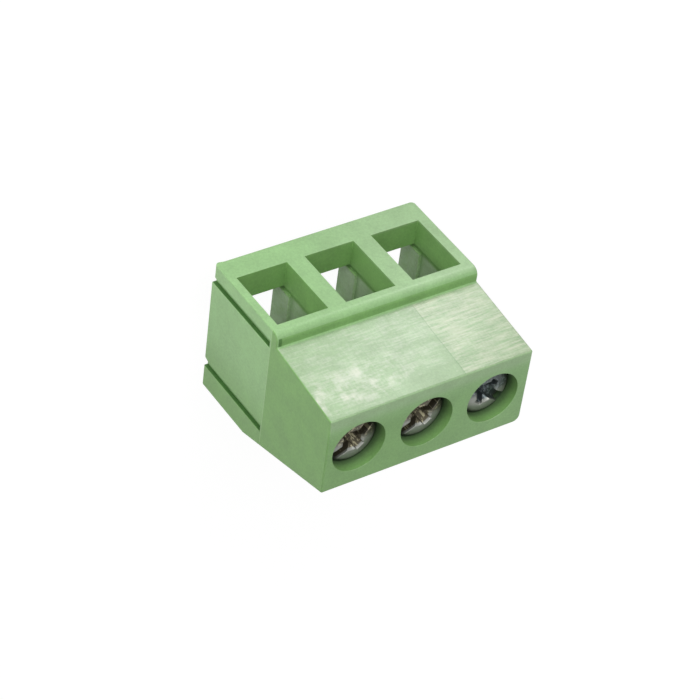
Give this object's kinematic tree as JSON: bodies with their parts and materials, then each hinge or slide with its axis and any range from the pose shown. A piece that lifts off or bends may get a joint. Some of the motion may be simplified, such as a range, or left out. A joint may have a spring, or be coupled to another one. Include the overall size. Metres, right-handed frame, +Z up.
{
  "type": "pcb screw terminal",
  "caption": "Interlocking terminal block for a circuit board, with front wire entries and rising clamps worked by screws from above.",
  "frame": {"origin": "on the middle solder pin's axis, in the surface of the circuit board that the housing stands on", "axes": "+X along the row of poles towards the grooved end, +Y from the wire entries towards the rear, +Z up from the board towards the screw heads"},
  "size_m": [0.0155, 0.0104, 0.0174],
  "materials": {
    "housing_plastic": "green moulded polyamide with a satin surface",
    "screw_steel": "zinc plated steel, bright on the head",
    "clamp_metal": "nickel plated steel strip, dull",
    "contact_metal": "tin plated brass strip"
  },
  "bodies": {
    "housing": {"housing": "housing_plastic", "contact_1": "contact_metal", "contact_2": "contact_metal", "contact_3": "contact_metal"},
    "screw_1": {"screw_1": "screw_steel"},
    "screw_2": {"screw_2": "screw_steel"},
    "screw_3": {"screw_3": "screw_steel"},
    "clamp_1": {"clamp_1": "clamp_metal"},
    "clamp_2": {"clamp_2": "clamp_metal"},
    "clamp_3": {"clamp_3": "clamp_metal"}
  },
  "joints": [
    {"name": "screw_1_turn", "type": "hinge", "parent": "housing", "child": "screw_1", "pos_m": [-0.00508, -0.00281, 0.0124], "axis": [0, 0, 1], "range_deg": [0, 2400]},
    {"name": "screw_2_turn", "type": "hinge", "parent": "housing", "child": "screw_2", "pos_m": [0, -0.00281, 0.0124], "axis": [0, 0, 1], "range_deg": [0, 2400]},
    {"name": "screw_3_turn", "type": "hinge", "parent": "housing", "child": "screw_3", "pos_m": [0.00508, -0.00281, 0.0124], "axis": [0, 0, 1], "range_deg": [0, 2400]},
    {"name": "clamp_1_lift", "type": "slide", "parent": "housing", "child": "clamp_1", "axis": [0, 0, 1], "range_m": [-0.003, 0]},
    {"name": "clamp_2_lift", "type": "slide", "parent": "housing", "child": "clamp_2", "axis": [0, 0, 1], "range_m": [-0.003, 0]},
    {"name": "clamp_3_lift", "type": "slide", "parent": "housing", "child": "clamp_3", "axis": [0, 0, 1], "range_m": [-0.003, 0]}
  ],
  "couplings": [
    {"joint": "screw_1_turn", "follows": "clamp_1_lift", "rad_per_m": -13963},
    {"joint": "screw_2_turn", "follows": "clamp_2_lift", "rad_per_m": -13963},
    {"joint": "screw_3_turn", "follows": "clamp_3_lift", "rad_per_m": -13963}
  ]
}
